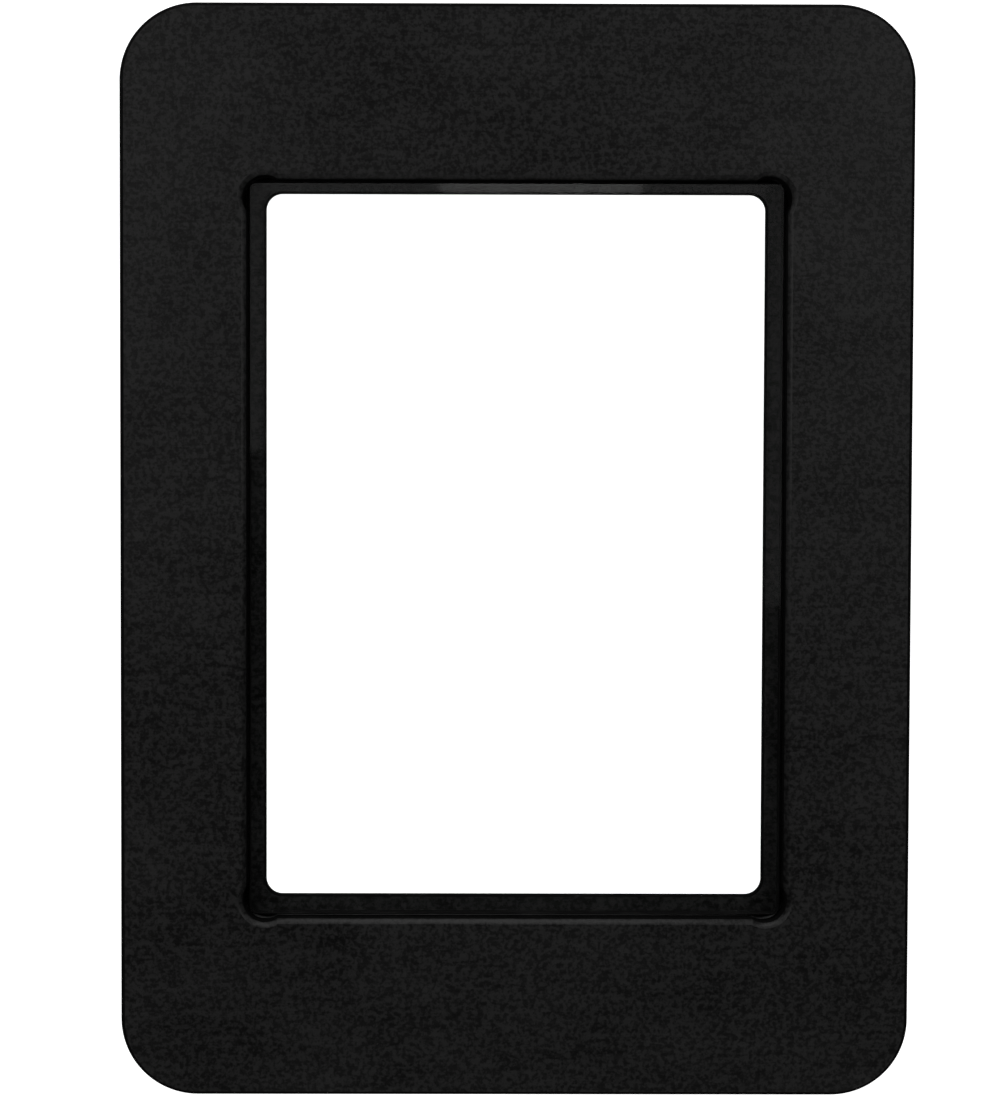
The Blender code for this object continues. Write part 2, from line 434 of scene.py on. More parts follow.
def rectangle_outline(width, length, middle, inset, radius, steps, ends, overrun=0.0):
    """Points round a rectangle, anticlockwise, with an arc about a centre in each corner.

    The arcs' centres are set in from the sides by inset, and each arc turns on past both
    of its sides by overrun. ends holds the points along the far end and the near end.
    """
    points = []
    for corner in range(4):
        diagonal = math.radians(45 + 90 * corner)
        side_x = math.copysign(1, math.cos(diagonal))
        side_y = math.copysign(1, math.sin(diagonal))
        centre_x = side_x * (width / 2 - inset)
        centre_y = middle + side_y * (length / 2 - inset)
        half_turn = math.radians(45) + overrun
        for step in range(steps + 1):
            angle = diagonal - half_turn + 2 * half_turn * step / steps
            x = centre_x + radius * math.cos(angle)
            y = centre_y + radius * math.sin(angle)
            points.append((x, y))
        if corner == 0:
            points.extend(ends[0])
        elif corner == 2:
            points.extend(ends[1])
    return points


def straight_ends(reach, length, middle):
    """Points along both ends of a rectangle, which match a notched end one to one."""
    across = [reach * (1 - 2 * step / NOTCH_STEPS) for step in range(NOTCH_STEPS + 1)]
    far = [(x, middle + length / 2) for x in across]
    near = [(-x, middle - length / 2) for x in across]
    return far, near


def notched_ends(sizes, inset):
    """Points along both ends of the lower plate, round the finger notches."""
    full = (sizes.notch_width**2 / 4 + sizes.notch_depth**2) / (2 * sizes.notch_depth)
    centre = PLATE_LENGTH / 2 - sizes.notch_depth + full
    radius = full + inset
    sweep = math.acos((centre - PLATE_LENGTH / 2 + inset) / radius)
    far = []
    for step in range(NOTCH_STEPS + 1):
        angle = sweep * (1 - 2 * step / NOTCH_STEPS)
        far.append((radius * math.sin(angle), centre - radius * math.cos(angle)))
    near = [(-x, -y) for x, y in far]
    return far, near


def plate_edge(sizes, inset, notched):
    """Outline of a plate, drawn in by inset."""
    width, length = PLATE_WIDTH - 2 * inset, PLATE_LENGTH - 2 * inset
    radius = sizes.corner_radius - inset
    if notched:
        ends = notched_ends(sizes, inset)
    else:
        ends = straight_ends(sizes.notch_width / 2, length, 0.0)
    return rectangle_outline(width, length, 0.0, radius, radius, sizes.arc_steps, ends)


def opening_edge(sizes, inset):
    """Outline of the opening with its corner reliefs, widened by inset."""
    width = PANE_WIDTH + 2 * (sizes.pane_clearance + inset)
    length = PANE_LENGTH + 2 * (sizes.pane_clearance + inset)
    radius = sizes.relief_radius + inset
    centre_inset = sizes.relief_radius - sizes.relief_bulge + inset
    ends = straight_ends(sizes.notch_width / 2, length, OPENING_MIDDLE)
    return rectangle_outline(
        width,
        length,
        OPENING_MIDDLE,
        centre_inset,
        radius,
        sizes.arc_steps,
        ends,
        math.acos(centre_inset / radius),
    )


def window_edge(sizes, inset):
    """Outline of the film window, widened by inset."""
    width = sizes.window_width + 2 * inset
    length = sizes.window_length + 2 * inset
    radius = sizes.window_corner + inset
    ends = straight_ends(sizes.notch_width / 2, length, sizes.window_middle)
    return rectangle_outline(
        width, length, sizes.window_middle, radius, radius, sizes.arc_steps, ends
    )


def rim_rings(steps, edge, width, face, inward, finishes):
    """Rings from a flat face, over its softened chamfer, to the wall below or above it.

    edge gives the outline for an inset, and inward is the way along Z from the face into
    the metal. finishes are the numbers for the face, chamfer and wall.
    """
    face_number, chamfer_number, wall_number = finishes
    rings = [Ring(edge(width + PAST_RIM), face, 0.0, face_number)]
    for step in range(steps + 1):
        along = step / steps
        turn = math.radians(90) * along
        round_inset = 1 - math.sin(turn)
        round_drop = 1 - math.cos(turn)
        inset = width * (round_inset + (1 - along - round_inset) * (1 - CHAMFER_SOFTNESS))
        drop = width * (round_drop + (along - round_drop) * (1 - CHAMFER_SOFTNESS))
        rim = 1.0 if 0 < step < steps else 0.5
        number = chamfer_number if step < steps else wall_number
        rings.append(Ring(edge(inset), face + inward * drop, rim, number))
    return rings


def fillet_rings(edge, radius, floor):
    """Rings from the end of a wall painted near-black as painted shade, round its fillet and onto the
    milled floor.
    """
    rings = []
    for step in range(FILLET_STEPS + 1):
        angle = math.radians(90) * step / FILLET_STEPS
        inset = -radius * (1 - math.cos(angle))
        height = floor + radius * (1 - math.sin(angle))
        number = SHADE_PAINTED if step == 0 else MILLED
        rings.append(Ring(edge(inset), height, 0.0, number))
    rings.append(Ring(edge(-radius - PAST_RIM), floor, 0.0, MILLED))
    return rings


def lofted(name, rings):
    """Mesh whose skin runs from each ring to the next, and from the last to the first."""
    mesh = bpy.data.meshes.new(name)
    shape = bmesh.new()
    worn = shape.verts.layers.float.new("rim")
    rows = []
    for ring in rings:
        row = []
        for x, y in ring.points:
            corner = shape.verts.new((x, y, ring.height))
            corner[worn] = ring.rim
            row.append(corner)
        rows.append(row)
    for number, row in enumerate(rows):
        following = (number + 1) % len(rows)
        beyond = rows[following]
        for i in range(len(row)):
            j = (i + 1) % len(row)
            face = shape.faces.new((row[i], row[j], beyond[j], beyond[i]))
            face.material_index = min(rings[number].finish, rings[following].finish)
    bmesh.ops.recalc_face_normals(shape, faces=shape.faces)
    shape.to_mesh(mesh)
    shape.free()
    return mesh


def add_turned(shape, profile, x, y):
    """Adds a solid turned about a vertical axis from (radius, height) points going up."""
    rows = []
    for radius, height in profile:
        row = []
        for side in range(HOLE_SIDES):
            angle = math.tau * side / HOLE_SIDES
            place = (x + radius * math.cos(angle), y + radius * math.sin(angle), height)
            row.append(shape.verts.new(place))
        rows.append(row)
    for row, above in zip(rows, rows[1:]):
        for i in range(HOLE_SIDES):
            j = (i + 1) % HOLE_SIDES
            face = shape.faces.new((row[i], row[j], above[j], above[i]))
            face.material_index = MILLED
    shape.faces.new(list(reversed(rows[0]))).material_index = MILLED
    shape.faces.new(rows[-1]).material_index = MILLED


def node_middle(name):
    """Middle of a solid's box."""
    low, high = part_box(name)
    return (low + high) / 2


def drill_mesh(name, sizes, face, outward):
    """Cutters for one plate's blind dowel holes and magnet pockets.

    outward is the way along Z out of the plate at its mating face.
    """
    magnets = LOWER_MAGNETS if outward == UP else UPPER_MAGNETS
    shape = bmesh.new()
    for node in DOWELS + magnets:
        low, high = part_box(node)
        radius = (high.x - low.x) / 2 + sizes.hole_clearance
        floor = low.z - HOLE_SPARE if outward == UP else high.z + HOLE_SPARE
        profile = [
            (radius, floor),
            (radius, face - outward * sizes.hole_chamfer),
            (radius + sizes.hole_chamfer, face),
            (radius + sizes.hole_chamfer, face + outward * DRILL_CLEAR),
        ]
        if outward == DOWN:
            profile.reverse()
        middle = node_middle(node)
        add_turned(shape, profile, middle.x, middle.y)
    mesh = bpy.data.meshes.new(name)
    shape.to_mesh(mesh)
    shape.free()
    return mesh


def placed(name, mesh):
    """Object with that mesh, at the origin, in the carrier's collection."""
    group = bpy.data.collections.get("negative_carrier")
    if group is None:
        group = bpy.data.collections.new("negative_carrier")
        bpy.context.scene.collection.children.link(group)
    piece = bpy.data.objects.new(name, mesh)
    group.objects.link(piece)
    return piece


def made_plain(piece):
    """Turns a piece's modifiers into a plain mesh."""
    bpy.context.view_layer.update()
    depsgraph = bpy.context.evaluated_depsgraph_get()
    mesh = bpy.data.meshes.new_from_object(piece.evaluated_get(depsgraph))
    mesh.name = piece.name
    for number in reversed(range(len(mesh.materials))):
        if mesh.materials[number] is None:
            mesh.materials.pop(index=number)
    piece.modifiers.clear()
    piece.data = mesh
    return piece


def shade(piece):
    """Smooth shading, sharp along true edges."""
    piece.data.shade_smooth()
    piece.data.set_sharp_from_angle(angle=SHARP_ANGLE)


def drilled_plate(name, rings, cutter_mesh):
    """Plate with that skin, less the holes that the cutters drill."""
    plate = placed(name, lofted(name, rings))
    for label in PLATE_FINISHES:
        plate.data.materials.append(finish(label))
    cutter = placed(cutter_mesh.name, cutter_mesh)
    boolean = plate.modifiers.new("holes", "BOOLEAN")
    boolean.operation = "DIFFERENCE"
    boolean.solver = "EXACT"
    boolean.object = cutter
    made_plain(plate)
    bpy.data.objects.remove(cutter)
    if not plate.data.polygons:
        raise RuntimeError(f"{name}: drilling left nothing")
    shade(plate)
    return plate


def hand_over(piece, body, nodes):
    """Tells the frame what a finished piece rides on and which solids it stands for."""
    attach(piece, body)
    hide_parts(*nodes)


# --- Shader groups -------------------------------------------------------------------------


def add(tree, kind, links=None, **settings):
    """Adds a node, sets what settings name, and fills inputs with values or links."""
    made = tree.nodes.new(kind)
    for name, value in settings.items():
        setattr(made, name, value)
    for key, value in (links or {}).items():
        if isinstance(value, bpy.types.NodeSocket):
            tree.links.new(value, made.inputs[key])
        else:
            made.inputs[key].default_value = value
    return made


def math_node(tree, operation, first, second=0.0, clamp=False):
    """Result of a Math node on values or links."""
    made = add(tree, "ShaderNodeMath", {0: first, 1: second}, operation=operation)
    made.use_clamp = clamp
    return made.outputs[0]


def remap(tree, value, low, high, to_low=0.0, to_high=1.0):
    """Value stretched from low and high onto to_low and to_high, and held between them."""
    made = add(
        tree,
        "ShaderNodeMapRange",
        {"Value": value, "From Min": low, "From Max": high, "To Min": to_low, "To Max": to_high},
    )
    return made.outputs["Result"]


def mixed(tree, factor, first, second):
    """Colour between two colours. Inputs 6 and 7 are a Mix node's colours, and output 2 its result."""
    made = add(tree, "ShaderNodeMix", {0: factor, 6: first, 7: second}, data_type="RGBA")
    return made.outputs[2]


def bump_normal(tree, distance, height):
    """Normal of a surface that rises by up to distance where height is 1."""
    made = add(
        tree,
        "ShaderNodeBump",
        {"Strength": 1.0, "Distance": distance, "Height": height},
    )
    return made.outputs["Normal"]


def start_group(name, inputs, outputs):
    """New shader group with its sockets, and its input and output nodes."""
    tree = bpy.data.node_groups.new(name, "ShaderNodeTree")
    for label, kind, default in inputs:
        socket = tree.interface.new_socket(label, in_out="INPUT", socket_type=kind)
        if default is not None:
            socket.default_value = default
    for label, kind in outputs:
        tree.interface.new_socket(label, in_out="OUTPUT", socket_type=kind)
    return tree, tree.nodes.new("NodeGroupInput"), tree.nodes.new("NodeGroupOutput")


def stretched_noise(tree, vector, across, along, detail, roughness):
    """Noise whose features are across long on X and along long on Y and Z."""
    scale = add(
        tree,
        "ShaderNodeCombineXYZ",
        {
            "X": math_node(tree, "DIVIDE", 1.0, across),
            "Y": math_node(tree, "DIVIDE", 1.0, along),
            "Z": math_node(tree, "DIVIDE", 1.0, along),
        },
    )
    spread = add(
        tree,
        "ShaderNodeVectorMath",
        {0: vector, 1: scale.outputs[0]},
        operation="MULTIPLY",
    )
    noise = add(
        tree,
        "ShaderNodeTexNoise",
        {"Vector": spread.outputs[0], "Scale": 1.0, "Detail": detail, "Roughness": roughness},
    )
    return noise.outputs["Fac"]


def brush_lines_group():
    """Lines that a brushing belt leaves along X, some longer and deeper than the rest."""
    tree, given, out = start_group(
        "Brush Lines",
        [
            ("Vector", "NodeSocketVector", None),
            ("Line Length", "NodeSocketFloat", 12 * MM),
            ("Line Width", "NodeSocketFloat", 0.9 * MM),
        ],
        [("Lines", "NodeSocketFloat"), ("Deep Lines", "NodeSocketFloat")],
    )
    vector, length, width = given.outputs[:3]
    lines = stretched_noise(tree, vector, length, width, 3.0, 0.6)
    longer = math_node(tree, "MULTIPLY", length, 2.3)
    wider = math_node(tree, "MULTIPLY", width, 2.1)
    deep = stretched_noise(tree, vector, longer, wider, 1.0, 0.5)
    tree.links.new(remap(tree, lines, 0.39, 0.61), out.inputs["Lines"])
    tree.links.new(remap(tree, deep, 0.54, 0.72), out.inputs["Deep Lines"])
    return tree


def satin_grain_group():
    """Fine even grain of an etched or blasted surface, and slow patches under it."""
    tree, given, out = start_group(
        "Satin Grain",
        [
            ("Vector", "NodeSocketVector", None),
            ("Grain Size", "NodeSocketFloat", 1.1 * MM),
            ("Patch Size", "NodeSocketFloat", 26 * MM),
        ],
        [("Grain", "NodeSocketFloat"), ("Patches", "NodeSocketFloat")],
    )
    vector, size, patch = given.outputs[:3]
    grain = stretched_noise(tree, vector, size, size, 2.0, 0.65)
    longer = math_node(tree, "MULTIPLY", patch, 1.6)
    patches = stretched_noise(tree, vector, longer, patch, 2.0, 0.55)
    tree.links.new(remap(tree, grain, 0.42, 0.58), out.inputs["Grain"])
    tree.links.new(remap(tree, patches, 0.35, 0.65), out.inputs["Patches"])
    return tree


def edge_wear_group():
    """Where handling has rubbed the finish off a rim, broken up by noise."""
    tree, given, out = start_group(
        "Edge Wear",
        [
            ("Vector", "NodeSocketVector", None),
            ("Rim", "NodeSocketFloat", 0.0),
            ("Amount", "NodeSocketFloat", 0.4),
            ("Patch Size", "NodeSocketFloat", 4 * MM),
        ],
        [("Worn", "NodeSocketFloat")],
    )
    vector, rim, amount, size = given.outputs[:4]
    rub = stretched_noise(tree, vector, size, size, 4.0, 0.7)
    level = math_node(tree, "MULTIPLY", math_node(tree, "SUBTRACT", 1.0, amount), 0.75)
    rubbed = math_node(tree, "SUBTRACT", math_node(tree, "MULTIPLY", rim, rub), level)
    tree.links.new(math_node(tree, "MULTIPLY", rubbed, 5.0, clamp=True), out.inputs["Worn"])
    return tree


def dust_group():
    """Specks of dust, on faces that look up."""
    tree, given, out = start_group(
        "Dust",
        [
            ("Vector", "NodeSocketVector", None),
            ("Spacing", "NodeSocketFloat", 5 * MM),
            ("Speck Size", "NodeSocketFloat", 0.12 * MM),
        ],
        [("Dusty", "NodeSocketFloat")],
    )
    vector, spacing, speck = given.outputs[:3]
    cells = add(
        tree,
        "ShaderNodeVectorMath",
        {0: vector, "Scale": math_node(tree, "DIVIDE", 1.0, spacing)},
        operation="SCALE",
    )
    specks = add(tree, "ShaderNodeTexVoronoi", {"Vector": cells.outputs[0], "Scale": 1.0})
    reach = math_node(tree, "DIVIDE", speck, spacing)
    # Each cell's own random number makes most specks far smaller than the largest
    share = add(tree, "ShaderNodeSeparateColor", {0: specks.outputs["Color"]})
    reach = math_node(tree, "MULTIPLY", reach, math_node(tree, "POWER", share.outputs[0], 2.0))
    away = math_node(tree, "DIVIDE", specks.outputs["Distance"], reach)
    near = math_node(tree, "SUBTRACT", 1.0, away)
    near = math_node(tree, "MULTIPLY", near, 3.0, clamp=True)
    normal = add(tree, "ShaderNodeNewGeometry").outputs["Normal"]
    upward = add(tree, "ShaderNodeSeparateXYZ", {0: normal})
    facing = remap(tree, upward.outputs["Z"], 0.7, 0.95)
    tree.links.new(math_node(tree, "MULTIPLY", near, facing), out.inputs["Dusty"])
    return tree


def fingermark_group():
    """Faint greasy patches that change how sharply a surface shines."""
    tree, given, out = start_group(
        "Fingermarks",
        [("Vector", "NodeSocketVector", None), ("Mark Size", "NodeSocketFloat", 14 * MM)],
        [("Marks", "NodeSocketFloat")],
    )
    vector, size = given.outputs[:2]
    where = stretched_noise(tree, vector, size, size, 2.0, 0.5)
    ridge = math_node(tree, "MULTIPLY", size, 0.05)
    ridges = stretched_noise(tree, vector, ridge, ridge, 1.0, 0.5)
    patches = remap(tree, where, 0.55, 0.7)
    marks = math_node(tree, "MULTIPLY", patches, remap(tree, ridges, 0.35, 0.6, 0.4, 1.0))
    tree.links.new(marks, out.inputs["Marks"])
    return tree


SHADER_GROUPS = {
    "Brush Lines": brush_lines_group,
    "Satin Grain": satin_grain_group,
    "Edge Wear": edge_wear_group,
    "Dust": dust_group,
    "Fingermarks": fingermark_group,
}


def group_node(tree, name, vector, **values):
    """Places a shared group in a material, building the group the first time."""
    group = bpy.data.node_groups.get(name) or SHADER_GROUPS[name]()
    made = add(tree, "ShaderNodeGroup", node_tree=group)
    tree.links.new(vector, made.inputs["Vector"])
    for key, value in values.items():
        socket = made.inputs[key.replace("_", " ").title()]
        if isinstance(value, bpy.types.NodeSocket):
            tree.links.new(value, socket)
        else:
            socket.default_value = value
    return made.outputs


# --- Materials -----------------------------------------------------------------------------

SATIN_SPECULAR = 0.22
MATT_SPECULAR = 0.06
SATIN_SWING = 0.06            # how far an anodised face's roughness goes either way
MARK_POLISH = 0.04            # what a fingermark takes off its roughness
WEAR_POLISH = 0.12            # what rubbing takes off its roughness
DEEP_LINE_SHADE = 0.25        # how much deep brush lines darken it, beside the fine ones
COAT_ROUGHNESS = (0.75, 0.9)  # of ink and paint
COAT_WEAR = 0.16
COAT_PATCH = 6 * MM
THIN_COAT = 2.5               # how much lighter a coat is where it is thin
DUST_ROUGHNESS = 0.4          # what dust adds to the glass's roughness
DUSTY_GLASS = 0.8             # how much of the light dusty glass lets through
LINE_SHADE = 0.82             # tone of bare metal between its lines
HANDLED_SHADE = 0.7           # tone of bare metal where it is handled
METAL_MARK_ROUGHNESS = 0.08   # what a fingermark adds to bare metal's roughness


def start_material(name, colour, **fixed):
    """New material with its Principled BSDF, whose plain inputs are set by fixed."""
    material = bpy.data.materials.new(name)
    material.use_nodes = True
    material.diffuse_color = (*colour, 1.0)
    tree = material.node_tree
    shader = tree.nodes["Principled BSDF"]
    for key, value in fixed.items():
        shader.inputs[key.replace("_", " ")].default_value = value
    place = tree.nodes.new("ShaderNodeTexCoord").outputs["Object"]
    return material, tree, shader, place


def opaque(colour):
    """The colour with a full alpha."""
    return (*colour, 1.0)


def anodised(name, finishes, lightness, line_share, grain_share, roughness, bump, wear):
    """Black anodised aluminium. The shares say how much of its tone each texture sets.

    lightness is how light its lightest tone is beside the one that is set.
    """
    material, tree, shader, place = start_material(
        name, finishes.anodised_light, Specular_IOR_Level=SATIN_SPECULAR
    )
    lines = group_node(tree, "Brush Lines", place)
    grain = group_node(tree, "Satin Grain", place)
    dust = group_node(tree, "Dust", place)
    marks = group_node(tree, "Fingermarks", place, mark_size=22 * MM)
    rim = add(tree, "ShaderNodeAttribute", attribute_name="rim").outputs["Fac"]
    worn = group_node(tree, "Edge Wear", place, rim=rim, amount=wear)["Worn"]

    patch_share = 1 - line_share - grain_share
    tone = math_node(tree, "MULTIPLY", lines["Lines"], line_share)
    tone = math_node(tree, "ADD", tone, math_node(tree, "MULTIPLY", grain["Grain"], grain_share))
    tone = math_node(tree, "ADD", tone, math_node(tree, "MULTIPLY", grain["Patches"], patch_share))
    dark = math_node(tree, "MULTIPLY", lines["Deep Lines"], -DEEP_LINE_SHADE * line_share)
    tone = math_node(tree, "ADD", tone, dark, clamp=True)
    lightest = [part * lightness for part in finishes.anodised_light]
    black = mixed(tree, tone, opaque(finishes.anodised_dark), opaque(lightest))
    rubbed = mixed(tree, worn, black, opaque(finishes.bare_metal))
    dusted = mixed(tree, dust["Dusty"], rubbed, opaque(finishes.dust))
    tree.links.new(dusted, shader.inputs["Base Color"])

    rough = remap(tree, tone, 0.0, 1.0, roughness - SATIN_SWING, roughness + SATIN_SWING)
    marked = math_node(tree, "MULTIPLY", marks["Marks"], MARK_POLISH)
    rough = math_node(tree, "SUBTRACT", rough, marked)
    rough = math_node(tree, "SUBTRACT", rough, math_node(tree, "MULTIPLY", worn, WEAR_POLISH))
    tree.links.new(rough, shader.inputs["Roughness"])

    relief = math_node(tree, "MULTIPLY", lines["Lines"], line_share)
    relief = math_node(tree, "ADD", relief, math_node(tree, "MULTIPLY", grain["Grain"], grain_share))
    tree.links.new(bump_normal(tree, bump, relief), shader.inputs["Normal"])
    return material


def let_light_through(tree, shader, tint):
    """Lets lamps shine through glass, so that what lies under it is lit once and not twice."""
    output = tree.nodes["Material Output"]
    clear = add(tree, "ShaderNodeBsdfTransparent", {"Color": opaque(tint)})
    path = add(tree, "ShaderNodeLightPath").outputs
    lighting = math_node(tree, "MAXIMUM", path["Is Shadow Ray"], path["Is Diffuse Ray"])
    lighting = math_node(tree, "MAXIMUM", lighting, path["Is Glossy Ray"])
    mix = add(
        tree,
        "ShaderNodeMixShader",
        {0: lighting, 1: shader.outputs["BSDF"], 2: clear.outputs["BSDF"]},
    )
    tree.links.new(mix.outputs[0], output.inputs["Surface"])


def glass(name, tint, clean_rough, marked_rough, bump):
    """Float glass. marked_rough is its roughness under a fingermark."""
    material, tree, shader, place = start_material(
        name, tint, IOR=1.52, Transmission_Weight=1.0, Metallic=0.0
    )
    marks = group_node(tree, "Fingermarks", place)["Marks"]
    grain = group_node(tree, "Satin Grain", place, grain_size=0.15 * MM)
    dusty = group_node(tree, "Dust", place, spacing=9 * MM, speck_size=0.10 * MM)["Dusty"]
    colour = mixed(tree, dusty, opaque(tint), opaque([part * DUSTY_GLASS for part in tint]))
    tree.links.new(colour, shader.inputs["Base Color"])
    rough = remap(tree, marks, 0.0, 1.0, clean_rough, marked_rough)
    dulled = math_node(tree, "MULTIPLY", dusty, DUST_ROUGHNESS)
    rough = math_node(tree, "ADD", rough, dulled, clamp=True)
    tree.links.new(rough, shader.inputs["Roughness"])
    tree.links.new(bump_normal(tree, bump, grain["Grain"]), shader.inputs["Normal"])
    let_light_through(tree, shader, tint)
    return material


def dull_black(name, colour, worn_colour, grain_size, bump):
    """Matt black ink or paint, thinner in patches and rubbed where a rim is handled. Its near-black
    colour stands for the shade on walls and edges: painted shade.
    """
    material, tree, shader, place = start_material(name, colour, Specular_IOR_Level=MATT_SPECULAR)
    grain = group_node(
        tree, "Satin Grain", place, grain_size=grain_size, patch_size=COAT_PATCH
    )
    thin = remap(tree, grain["Patches"], 0.55, 1.0, 0.0, 0.5)
    thinner = opaque([part * THIN_COAT for part in colour])
    rim = add(tree, "ShaderNodeAttribute", attribute_name="rim").outputs["Fac"]
    worn = group_node(tree, "Edge Wear", place, rim=rim, amount=COAT_WEAR)["Worn"]
    coat = mixed(tree, thin, opaque(colour), thinner)
    coat = mixed(tree, worn, coat, opaque(worn_colour))
    tree.links.new(coat, shader.inputs["Base Color"])
    rough = remap(tree, grain["Grain"], 0.0, 1.0, *COAT_ROUGHNESS)
    tree.links.new(rough, shader.inputs["Roughness"])
    tree.links.new(bump_normal(tree, bump, grain["Grain"]), shader.inputs["Normal"])
    return material


def metal(name, colour, line_length, line_width, low_rough, high_rough, bump):
    """Bare or plated metal with fine working lines and fingermarks.

    Its roughness goes from low_rough between the lines to high_rough on them.
    """
    material, tree, shader, place = start_material(name, colour, Metallic=1.0)
    lines = group_node(tree, "Brush Lines", place, line_length=line_length, line_width=line_width)
    marks = group_node(tree, "Fingermarks", place, mark_size=3 * MM)["Marks"]
    worn = group_node(tree, "Edge Wear", place, rim=0.8, amount=0.35, patch_size=1.5 * MM)["Worn"]
    darker = opaque([part * LINE_SHADE for part in colour])
    toned = mixed(tree, lines["Lines"], darker, opaque(colour))
    toned = mixed(tree, worn, toned, opaque([part * HANDLED_SHADE for part in colour]))
    tree.links.new(toned, shader.inputs["Base Color"])
    rough = remap(tree, lines["Lines"], 0.0, 1.0, low_rough, high_rough)
    marked = math_node(tree, "MULTIPLY", marks, METAL_MARK_ROUGHNESS)
    rough = math_node(tree, "ADD", rough, marked)
    tree.links.new(rough, shader.inputs["Roughness"])
    tree.links.new(bump_normal(tree, bump, lines["Lines"]), shader.inputs["Normal"])
    return material


def brushed_black(finishes):
    """The plates' flat faces."""
    return anodised(
        "brushed_black",
        finishes,
        lightness=1.0,
        line_share=0.17,
        grain_share=0.63,
        roughness=0.46,
        bump=0.028 * MM,
        wear=0.18,
    )


def milled_black(finishes):
    """The ledge, the drilled holes and the smaller chamfers."""
    return anodised(
        "milled_black",
        finishes,
        lightness=1.2,
        line_share=0.20,
        grain_share=0.60,
        roughness=0.36,
        bump=0.018 * MM,
        wear=0.24,
    )


def painted_shade_black(finishes):
    """Painted shade: near-black paint on the plates' edges and the walls of the opening and the
    window, which stands for the shade that falls there.
    """
    return dull_black(
        "painted_shade_black",
        finishes.wall_shade_paint,
        finishes.bare_metal,
        grain_size=0.4 * MM,
        bump=0.02 * MM,
    )


def inked_edge_and_shade(finishes):
    """The panes' ground edges, inked near-black: partly a real blackened edge, partly painted shade
    for the dark band along the opening's walls.
    """
    return dull_black(
        "inked_edge_and_shade",
        finishes.edge_ink_and_shade,
        finishes.bare_metal,
        grain_size=0.25 * MM,
        bump=0.01 * MM,
    )


def polished_glass(finishes):
    """The panes' clear faces."""
    return glass(
        "polished_glass",
        finishes.glass_tint,
        clean_rough=0.0,
        marked_rough=0.05,
        bump=0.0002 * MM,
    )


def satin_etch(finishes):
    """The upper pane's film side."""
    return glass(
        "satin_etch",
        finishes.glass_tint,
        clean_rough=0.10,
        marked_rough=0.14,
        bump=0.002 * MM,
    )


def ground_steel(finishes):
    """The dowels."""
    return metal(
        "ground_steel",
        finishes.stainless,
        line_length=3 * MM,
        line_width=0.08 * MM,
        low_rough=0.2,
        high_rough=0.34,
        bump=0.002 * MM,
    )


def nickel_plate(finishes):
    """The magnets."""
    return metal(
        "nickel_plate",
        finishes.nickel,
        line_length=1 * MM,
        line_width=0.5 * MM,
        low_rough=0.14,
        high_rough=0.24,
        bump=0.001 * MM,
    )


FINISHES = {
    "brushed_black": brushed_black,
    "milled_black": milled_black,
    "painted_shade_black": painted_shade_black,
    "inked_edge_and_shade": inked_edge_and_shade,
    "polished_glass": polished_glass,
    "satin_etch": satin_etch,
    "ground_steel": ground_steel,
    "nickel_plate": nickel_plate,
}


def finish(name):
    """The finish's material, made the first time that it is asked for."""
    made = bpy.data.materials.get(name)
    return made or FINISHES[name](bpy.context.scene.carrier_finishes)


# --- Geometry node trees -------------------------------------------------------------------


def start_tree(name, inputs):
    """New geometry tree with named inputs, and its input and output nodes."""
    tree = bpy.data.node_groups.new(name, "GeometryNodeTree")
    tree.interface.new_socket("Geometry", in_out="OUTPUT", socket_type="NodeSocketGeometry")
    for label, kind in inputs:
        tree.interface.new_socket(label, in_out="INPUT", socket_type=kind)
    return tree, tree.nodes.new("NodeGroupInput").outputs, tree.nodes.new("NodeGroupOutput")


def polyline(tree, points):
    """Curve of straight runs through points, each made of two numbers or links."""
    runs = add(tree, "GeometryNodeJoinGeometry")
    for (x0, y0), (x1, y1) in reversed(list(zip(points, points[1:]))):
        start = add(tree, "ShaderNodeCombineXYZ", {"X": x0, "Y": y0})
        end = add(tree, "ShaderNodeCombineXYZ", {"X": x1, "Y": y1})
        run = add(
            tree,
            "GeometryNodeCurvePrimitiveLine",
            {"Start": start.outputs[0], "End": end.outputs[0]},
        )
        tree.links.new(run.outputs[0], runs.inputs[0])
    return runs.outputs[0]


